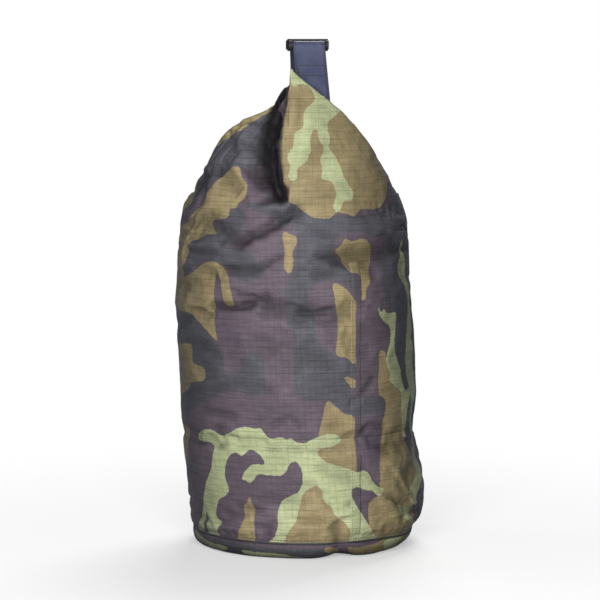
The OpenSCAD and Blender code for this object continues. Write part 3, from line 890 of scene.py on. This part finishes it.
def ribbed_webbing():
    """Coated webbing: ribs along it, picks across it, and a denser edge."""
    m = Nodes(bpy.data.materials.new("coated_webbing"))
    uv, along, across = m.fabric_place()
    rib = m.ridges(across, 0.0014)
    pick = m.ridges(along, 0.0009)
    selvedge = m.ramp(m.math("ABSOLUTE", across), 0.0100, 0.0109)
    cloud = m.noise(uv, 90.0, 4.0)
    colour = m.mix(m.remap(cloud, 0.3, 0.7), (0.042, 0.048, 0.092, 1), (0.062, 0.07, 0.128, 1))
    colour = m.mix(m.remap(pick, 0.0, 0.35, 0.35, 0.0), colour, (0.035, 0.037, 0.06, 1))
    colour = m.mix(m.product(selvedge, 0.45), colour, (0.025, 0.026, 0.042, 1))
    height = m.math("MULTIPLY_ADD", rib, 0.6, m.product(pick, 0.5))
    height = m.math("MULTIPLY_ADD", selvedge, 0.5, height)
    return m.surface(height, 0.00025, 0.8, Base_Color=colour, Specular_IOR_Level=0.35,
                     Roughness=m.remap(cloud, 0.3, 0.7, 0.42, 0.58))


def plain_weave(name, dark, light, size=0.0009):
    """Woven tape or thread, whose weave is laid out in the object's own space."""
    m = Nodes(bpy.data.materials.new(name))
    place = m.add("TexCoord")["Object"]
    cells = m.add("TexVoronoi", {"Vector": place, "Scale": 1 / size})["Distance"]
    colour = m.mix(m.remap(m.noise(place, 160.0, 3.0), 0.3, 0.7), dark, light)
    colour = m.mix(m.remap(cells, 0.1, 0.7, 0.0, 0.5), colour, dark)
    return m.surface(cells, 0.0002, 0.7, Base_Color=colour, Roughness=0.6)


def moulded_plastic(name, dark, light):
    """Moulded plastic with a fine grain, faint flow marks and handling marks."""
    m = Nodes(bpy.data.materials.new(name))
    place = m.add("TexCoord")["Object"]
    cloud = m.noise(place, 70.0, 4.0)
    marks = m.noise(place, 300.0, 4.0, 0.7)
    grain = m.noise(place, 2600.0, 2.0)
    return m.surface(m.math("MULTIPLY_ADD", cloud, 0.6, grain), 0.00006, 0.6, Specular_IOR_Level=0.14,
                     Base_Color=m.mix(m.remap(cloud, 0.35, 0.7), dark, light),
                     Roughness=m.remap(marks, 0.3, 0.7, 0.5, 0.61))


CAMO = camo_fabric()
WEBBING = ribbed_webbing()
TAPE = plain_weave("binding_tape", (0.02, 0.02, 0.022, 1), (0.035, 0.035, 0.038, 1))
THREAD = plain_weave("thread", (0.02, 0.019, 0.024, 1), (0.04, 0.037, 0.044, 1), 0.0003)
PANEL_THREAD = plain_weave("panel_thread", (0.06, 0.052, 0.05, 1), (0.1, 0.088, 0.08, 1), 0.0003)
BUCKLE = moulded_plastic("buckle_plastic", (0.018, 0.018, 0.021, 1), (0.03, 0.03, 0.034, 1))
STRIP = moulded_plastic("stiffener_plastic", (0.03, 0.03, 0.032, 1), (0.05, 0.05, 0.054, 1))


def dress(obj, material, node=None, body="sack"):
    """Gives a piece its material and slot, hides the CAD node that it stands for, and attaches it to the body
    it rides on.
    """
    obj.data.materials.append(material)
    if body:
        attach(obj, body)
    if node:
        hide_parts(node)


# ---- Fabric pieces ---------------------------------------------------------

def skin_piece(name, first, last):
    """A band of the sack's skin as a piece of its own."""
    row, col = np.mgrid[first:last + 1, 0:COLS + 1].astype(float)
    obj = ring_piece(name, row, col)
    # Painted shading of the creases, for the fabric's material to read
    store(obj, "painted_shading", skin_painted_shading[first:last + 1])
    return obj


def base_fabric():
    """The round base: it bulges under its seam, rests flat, and is lifted where the rim is dented."""
    angle = columns(COLS)
    rad = np.radians(angle)
    seam = skin[0]
    seam_r = np.hypot(seam[:, 0] - 1, seam[:, 1])
    dents = ((4.5, 17, 8), (5.0, 75, 26), (1.5, -120, 20), (1.0, 150, 14))
    dent = sum(deep * bell(angle, middle, width) for deep, middle, width in dents)
    # Each ring of the base: how far in it lies, its share of the drop to the floor, and of the dents
    profile = curve_points([(0, 0, 1), (-0.4, 0.3, 1), (0.3, 0.62, 1), (2.5, 0.86, 0.9), (7.5, 1.0, 0.7),
                            (18, 1.0, 0.3), (40, 1.0, 0.1), (66, 1.0, 0), (88, 1.0, 0)], 4)
    inset, drop, share = profile.T[..., None]
    r = np.maximum(seam_r - inset, 0.4)
    z = np.maximum(seam[:, 2] * (1 - drop) + dent * share * np.minimum(1, drop * 2), 0)
    grid = np.stack([1 + r * np.sin(rad), -r * np.cos(rad), z], -1)
    seen_angle, seen_z = on_wall(project(grid))
    front = smooth((75 - np.abs(angle)) / 20)
    u = SACK_R * np.radians(seen_angle * front + angle * (1 - front))
    v = seen_z * front + (z - inset) * (1 - front)
    ripple = (0.5 * waves(grid, 30, 12) + 0.3 * waves(grid, 12, 13)) * np.linspace(0, 1, len(grid))[:, None]
    grid += normals(grid) * (ripple * (z > 0.8))[..., None]
    grid[..., 2] = np.maximum(grid[..., 2], 0)
    last = (len(grid) - 1) * COLS
    faces = grid_faces(*grid.shape[:2], flip=True) + [list(range(last, last + COLS))]
    obj = new_object("base_fabric", grid, faces)
    paint(obj, np.stack([u, v], -1), BASE_PRINT)
    # Painted shade: the whole base is darkened, more so where it turns under towards the floor
    store(obj, "painted_shading", smooth((BASE_SEAM_Z - grid[..., 2]) / 9) * 1.7 + 0.9)
    # The weave is unrolled round the rim and flat under the base
    rim = 16
    length = run_length(grid[:, 0])
    corners = []
    for face in obj.data.polygons:
        at = np.array(face.vertices)
        ring, col = at // COLS, at % COLS
        if ring.max() > rim:
            corners.append(grid.reshape(-1, 3)[at, :2])
        else:
            col[(col == 0) & (col.max() == COLS - 1)] = COLS
            corners.append(np.stack([col / COLS * GIRTH, -length[ring]], -1))
    lay_out(obj, np.concatenate(corners))
    return obj


def seam_angle(z):
    """The side seam stays upright while the body leans, so its angle changes with height."""
    return np.degrees(np.arcsin((SEAM_X - lean_x(z)) / wall_radius(np.full_like(z, 30.0), z)))


SEAM_EDGES = np.array([-4.6, -4.2, -3.2, 0, 3.2, 4.2, 4.6])
SEAM_LIFT = np.array([-0.5, 0.1, 0.28, 0.26, 0.28, 0.1, -0.5])
SEAM_TUCK = 0.6
TUCK_OVER = 6.0


def side_seam(name, low, high):
    """A flat-felled seam up the side, with its ends tucked in."""
    z = np.linspace(low, high, int((high - low) / 2))[:, None]
    tucked = smooth(1 - np.minimum(z - low, high - z) / TUCK_OVER)
    row = row_of(z) + 0 * SEAM_EDGES
    col = column_of(seam_angle(z)) + SEAM_EDGES / GIRTH * COLS
    points = on_skin(row, col, SEAM_LIFT * (1 - tucked) - SEAM_TUCK * tucked)
    obj = new_object(name, points, grid_faces(*points.shape[:2], closed=False))
    place = fabric_uv(row, col)
    paint(obj, place)
    lay_out_points(obj, place)
    return obj


def wall_ring(heights):
    """Rows and columns of the fine grid all round the wall at a few heights, with the turn closed."""
    col, row = np.meshgrid(np.arange(COLS + 1.0), row_of(heights))
    return row, col


def waist_seam():
    lift = np.array([-0.4, 0.38, 0.5, 0.4, 0.3, 0.12, -0.4])[:, None]
    return ring_piece("waist_seam", *wall_ring([86.6, 86.8, 87.6, 89.5, 91.5, 93.2, 94.0]), lift)


def base_binding():
    """A thin tape over the base seam, whose lower edge turns in under the body."""
    lift = np.array([0.3, 0.35, 0.2, -0.3])[:, None]
    points = on_skin(*wall_ring([12.5, 12.9, 13.2, 13.3]), lift)[:, :-1]
    below = points[0] - np.array([0, 0, 0.8])
    tucked = below + (np.array([1.0, 0, 0]) - below) * np.array([0.012, 0.012, 0])
    grid = np.concatenate([tucked[None], below[None], points])
    return new_object("base_binding", grid, grid_faces(*grid.shape[:2]))


for piece, node in (
        (skin_piece("lower_fabric", 0, SKIN_WAIST), "lower_body_panel"),
        (skin_piece("upper_fabric", SKIN_WAIST, ROWS - 1), "upper_body_panel"),
        (base_fabric(), "base_panel"),
        (side_seam("lower_seam", 15, 85), "lower_side_seam"),
        (side_seam("upper_seam", 95, 233), "upper_side_seam"),
        (waist_seam(), "waist_seam_tape")):
    dress(piece, CAMO, node)
dress(base_binding(), TAPE, "base_seam_binding")


# ---- Stitches --------------------------------------------------------------

# A stitch: places along it with the share of its radius there, its sides, its flatness, and its share of
# the pitch
STITCH_PROFILE = [(-0.5, 0.25), (-0.38, 0.85), (0, 1.0), (0.38, 0.85), (0.5, 0.25)]
STITCH_SIDES = 8
STITCH_FLAT = 0.6
STITCH_SHARE = 0.72


def capsules(name, centres, ways, ups, length, radius):
    """One mesh of small rounded stitches, each lying along its way on the side of its up."""
    circle = [(math.cos(t), math.sin(t)) for t in 2 * math.pi / STITCH_SIDES * np.arange(STITCH_SIDES)]
    ends = len(STITCH_PROFILE) * STITCH_SIDES
    shell = grid_faces(len(STITCH_PROFILE), STITCH_SIDES)
    shell += [list(range(STITCH_SIDES))[::-1], list(range(ends - STITCH_SIDES, ends))]
    points, faces = [], []
    for centre, way, up in zip(centres, ways, ups):
        way = way / np.linalg.norm(way)
        side = np.cross(way, up)
        side /= np.linalg.norm(side)
        top = np.cross(side, way) * STITCH_FLAT
        faces += [[len(points) + i for i in face] for face in shell]
        points += [centre + way * along * length + (side * c + top * s) * radius * size
                   for along, size in STITCH_PROFILE for c, s in circle]
    return new_object(name, points, faces)


def stitch_line(row, col, pitch, lift):
    """Centres, directions and normals of stitches along a line on the skin."""
    surface = on_skin(row, col, lift)
    lengths = run_length(surface)
    count = max(2, int(lengths[-1] / pitch))
    at = (np.arange(count) + 0.5) * lengths[-1] / count
    reach = np.array([[-0.5], [0.5]]) * STITCH_SHARE * pitch
    start, end = np.stack([np.interp(at + reach, lengths, line) for line in surface.T], -1)
    out = sample(skin_out, np.interp(at, lengths, row), np.interp(at, lengths, col))
    return (start + end) / 2, end - start, out


def seam_stitches(name, lines, material, pitch, lift, radius):
    parts = [stitch_line(row, col, pitch, lift) for row, col in lines]
    centres, ways, ups = (np.concatenate(x) for x in zip(*parts))
    dress(capsules(name, centres, ways, ups, STITCH_SHARE * pitch, radius), material)


def round_line(z):
    col = np.linspace(0, COLS, 400)
    return row_of(np.full_like(col, z)), col


def upright_line(low, high, shift):
    z = np.linspace(low, high, 80)
    return row_of(z), column_of(seam_angle(z)) + shift / GIRTH * COLS


UPRIGHT = [upright_line(low, high, shift) for low, high in ((16, 84), (96, 232)) for shift in (-3.1, 3.1)]
seam_stitches("base_seam_stitches", [round_line(14.9)], THREAD, pitch=2.3, lift=0.05, radius=0.3)
seam_stitches("waist_seam_stitches", [round_line(88.2)], PANEL_THREAD, pitch=2.6, lift=0.42, radius=0.2)
seam_stitches("side_seam_stitches", UPRIGHT, PANEL_THREAD, pitch=2.6, lift=0.24, radius=0.2)


# ---- Rolled mouth ----------------------------------------------------------

ROLL_TURNS = 3
TURN_STEPS = 26
ARC_STEPS = 110
CORE_HALF_W = 12.6
CORE_HALF_T = 1.2
LAYER_HALF_T = 0.36
ROLL_ON_PRINT = (170, 90)


def spiral():
    """Cross-section of the rolled mouth: a flat spiral of fabric round the stiffener."""
    turn = np.linspace(0, 2 * math.pi * ROLL_TURNS, ROLL_TURNS * TURN_STEPS + 1)
    share = turn / turn[-1]
    wide = CORE_HALF_W + (ROLL_W / 2 - CORE_HALF_W) * share
    high = CORE_HALF_T + (ROLL_T / 2 - CORE_HALF_T) * share
    c, s = np.cos(turn - math.pi / 2), np.sin(turn - math.pi / 2)
    return np.stack([wide * np.sign(c) * np.abs(c) ** 0.42, high * np.sign(s) * np.abs(s) ** 0.7], -1)


def rolled_mouth():
    """The spiral swept round the loop, puckered on its inner side, with both ends closed."""
    middle = spiral()
    along = np.gradient(middle, axis=0)
    side = np.stack([along[:, 1], -along[:, 0]], -1)
    side /= np.maximum(np.linalg.norm(side, axis=1, keepdims=True), 1e-9)
    section = np.concatenate([middle + side * LAYER_HALF_T, (middle - side * LAYER_HALF_T)[::-1]])
    n = len(section)
    x, y = section.T
    arc = np.radians(np.linspace(-ROLL_RISE, 180 + ROLL_RISE, ARC_STEPS))
    turn = np.degrees(arc)[:, None]
    place = np.stack(np.broadcast_arrays(x, turn, y * 2), -1)
    pucker = 0.55 * np.sin(turn * 0.42 + 0.35 * np.sin(x * 0.5)) * smooth((-y - 0.5) / 3)
    r = LOOP_R + y + (pucker + 0.35 * waves(place, 34, 31)) * np.abs(y) / (ROLL_T / 2)
    across = x * (1 + 0.012 * waves(place, 50, 32))
    points = in_closure(across, -r * np.cos(arc)[:, None], LOOP_Z - r * np.sin(arc)[:, None])
    first = [[k, k + 1, n - 2 - k, n - 1 - k] for k in range(n // 2 - 1)]
    last = [[(len(arc) - 1) * n + i for i in quad[::-1]] for quad in first]
    obj = new_object("mouth_roll", points, grid_faces(len(arc), n) + first + last)
    place = np.stack(np.meshgrid(run_length(section), arc * LOOP_R), -1) + ROLL_ON_PRINT
    paint(obj, place)
    lay_out_points(obj, place)
    return obj


dress(rolled_mouth(), CAMO, "rolled_mouth")


# ---- Webbing tabs ----------------------------------------------------------

TAB_MID = ROLL_OUT + 0.2 + WEBBING_T
BAR_REACH = math.hypot(BAR_Y, BAR_Z - LOOP_Z)
TOUCH = math.atan2(BAR_Z - LOOP_Z, BAR_Y) - math.acos(TAB_MID / BAR_REACH)
TAB_L = math.sqrt(BAR_REACH ** 2 - TAB_MID ** 2)
TAB_SLIDE = 2.8


def from_tab(side, down, out, across):
    """From a tab's own frame, with its origin on the bar, to the row frame."""
    y = side * (BAR_Y + down * math.sin(TOUCH) + out * math.cos(TOUCH))
    z = BAR_Z - down * math.cos(TOUCH) + out * math.sin(TOUCH)
    return in_closure(across + TAB_SLIDE * np.clip(down / TAB_L, 0, 1), y, z)


def tab_path():
    """Middle line of the webbing: down from the roll's side, over the bar and back."""
    layer = WEBBING_T / 2
    eye = BAR_R + 0.12 + layer
    over = [(eye * math.cos(t), eye * math.sin(t)) for t in np.radians(np.linspace(62, 298, 23))]
    straight = [(TAB_L, layer), (TAB_L * 0.75, layer), (STITCH_ROWS[1], layer), (STITCH_ROWS[0], layer),
                (13.5, layer + 0.05), (8, layer + 0.55)]
    return straight + over + [(d, -o) for d, o in straight[::-1]]


def tab_section():
    """Section of one layer of webbing: flat faces with rounded edges."""
    thick, edge_r = WEBBING_T / 2, 0.55
    flat = WEBBING_W / 2 - edge_r
    turns = np.radians(np.linspace(-90, 90, 7))
    edge = [(flat + edge_r * math.cos(t), thick * math.sin(t)) for t in turns]
    face = [(x, thick) for x in (11.2, 10.6, 6, 0, -6, -10.6, -11.2)]
    return np.array(edge + face + [(-x, -y) for x, y in edge + face])


def webbing_tab(name, side):
    """One length of webbing, pressed in a little by its stitches."""
    path = curve_points(tab_path(), 2)
    way = np.gradient(path, axis=0)
    way /= np.linalg.norm(way, axis=1, keepdims=True)
    down, lift = path.T[..., None]
    across, thick = tab_section().T
    thick = thick * (1 - 0.12 * sum(bell(down, row, 1.6) for row in STITCH_ROWS))
    points = from_tab(side, down + way[:, 1:] * thick, lift - way[:, :1] * thick, across)
    rows, n = points.shape[:2]
    ends = [list(range(n))[::-1], list(range((rows - 1) * n, rows * n))]
    faces = grid_faces(rows, n, flip=side > 0) + [end if side > 0 else end[::-1] for end in ends]
    obj = new_object(name, points, faces)
    lay_out_points(obj, np.stack(np.meshgrid(across, run_length(path))[::-1], -1))
    return obj


def tab_stitches(name, side):
    """Two rows across the tab and a row along each edge, on both faces."""
    pitch, half = 2.5, 0.9
    spots = [(row, (k - 3.5) * pitch, 0, half) for row in STITCH_ROWS for k in range(8)]
    spots += [(STITCH_ROWS[0] + (k + 0.5) * pitch, x, half, 0) for x in (-10.4, 10.4) for k in range(11)]
    out = from_tab(side, 0.0, 1.0, 0.0) - from_tab(side, 0.0, 0.0, 0.0)
    spots = np.array([(*spot, face) for face in (-1, 1) for spot in spots]).T
    down, across, long, wide, face = spots
    start, end = (from_tab(side, down + s * long, face * WEBBING_T, across + s * wide) for s in (-1, 1))
    return capsules(name, (start + end) / 2, end - start, out * face[:, None], 1.9, 0.36)


def tab_pieces(half, side):
    """A tab and its stitches. The far ones cross the buckle's joint, so they ride on no body and their
    placing is baked into the mesh.
    """
    body = "sack" if side < 0 else None
    tab = webbing_tab(half + "_webbing", side)
    rows = tab_stitches(half + "_webbing_stitches", side)
    dress(tab, WEBBING, half + "_tab", body)
    dress(rows, THREAD, half + "_tab_stitching", body)
    if side > 0:
        low, high = (tuple(from_tab(side, down, 0.0, 0.0) * METRES) for down in (TAB_L, 4.0))
        for piece in (tab, rows):
            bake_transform(piece)


tab_pieces("socket", -1)
tab_pieces("plug", 1)


# ---- CAD nodes that stay ---------------------------------------------------

def recolour(name, material):
    node = frame["nodes"][name]
    node.data.materials.clear()
    node.data.materials.append(material)
    return node


recolour("mouth_stiffener", STRIP)
for name in ("buckle_socket", "buckle_plug", "release_prong_left", "release_prong_right"):
    bevel = recolour(name, BUCKLE).modifiers.new("Rounded edges", "BEVEL")
    bevel.width = 0.45 * METRES
    bevel.segments = 3
    bevel.limit_method = "ANGLE"
    bevel.angle_limit = math.radians(35)


# ---- Floor, light and camera -----------------------------------------------

AMBIENT = 0.055
FLOOR_HALF = 6.0
MIDDLE = (0, 0, 0.2)


def towards(place, aim):
    return (Vector(aim) - Vector(place)).to_track_quat("-Z", "Y").to_euler()


def studio_floor():
    """A pale floor that throws little light back up, and fades into the white round it."""
    s = FLOOR_HALF
    mesh = bpy.data.meshes.new("floor")
    mesh.from_pydata([(-s, -s, 0), (s, -s, 0), (s, s, 0), (-s, s, 0)], [], [(0, 1, 2, 3)])
    floor = link("floor", mesh)
    m = Nodes(bpy.data.materials.new("studio_floor"))
    seen = m.add("LightPath")["Is Camera Ray"]
    shader = m.tree.nodes["Principled BSDF"]
    m.fill(shader, {"Base Color": m.mix(seen, (0.2, 0.2, 0.2, 1), (0.9, 0.9, 0.9, 1)), "Roughness": 0.9})
    away = m.add("VectorMath", {0: m.add("TexCoord")["Object"]}, operation="LENGTH")["Value"]
    glow = m.product(seen, m.ramp(away, 0.1, 0.6, 0.4, 1.0))
    white = m.add("Emission", {"Color": (1, 1, 1, 1), "Strength": 1.0})[0]
    mixed = m.add("MixShader", {0: glow, 1: shader.outputs[0], 2: white})[0]
    m.fill(m.tree.nodes["Material Output"], {"Surface": mixed})
    mesh.materials.append(m.owner)
    floor.location.z = -0.0002


def area_light(name, place, size, power, colour=(1, 1, 1)):
    data = bpy.data.lights.new(name, "AREA")
    data.shape = "RECTANGLE"
    data.size, data.size_y = size
    data.energy = power
    data.color = colour
    obj = link(name, data)
    obj.location = place
    obj.rotation_euler = towards(place, MIDDLE)


def white_world():
    """White behind the object, and a little even light from all round."""
    m = Nodes(bpy.data.worlds.new("studio"))
    seen = m.add("LightPath")["Is Camera Ray"]
    strength = m.remap(seen, 0.0, 1.0, AMBIENT, 1.0)
    m.fill(m.tree.nodes["Background"], {"Color": (1, 1, 1, 1), "Strength": strength})
    bpy.context.scene.world = m.owner


def add_camera():
    data = bpy.data.cameras.new("camera")
    camera = link("camera", data)
    camera.location = EYE * METRES
    camera.rotation_euler = towards(EYE, AIM)
    data.sensor_width = 36.0
    data.lens = data.sensor_width * np.linalg.norm(AIM - EYE) / VIEW_WIDTH
    data.clip_end = 50
    bpy.context.scene.camera = camera


studio_floor()
bpy.context.scene.view_settings.view_transform = "Standard"
white_world()
area_light("key", (-0.12, -1.95, 0.6), size=(1.3, 1.0), power=61)
area_light("rim", (-1.3, 0.45, 0.6), size=(0.3, 1.3), power=3.5, colour=(0.86, 0.9, 1.0))
area_light("back", (0.4, 1.4, 1.9), size=(1.2, 1.2), power=40)
add_camera()
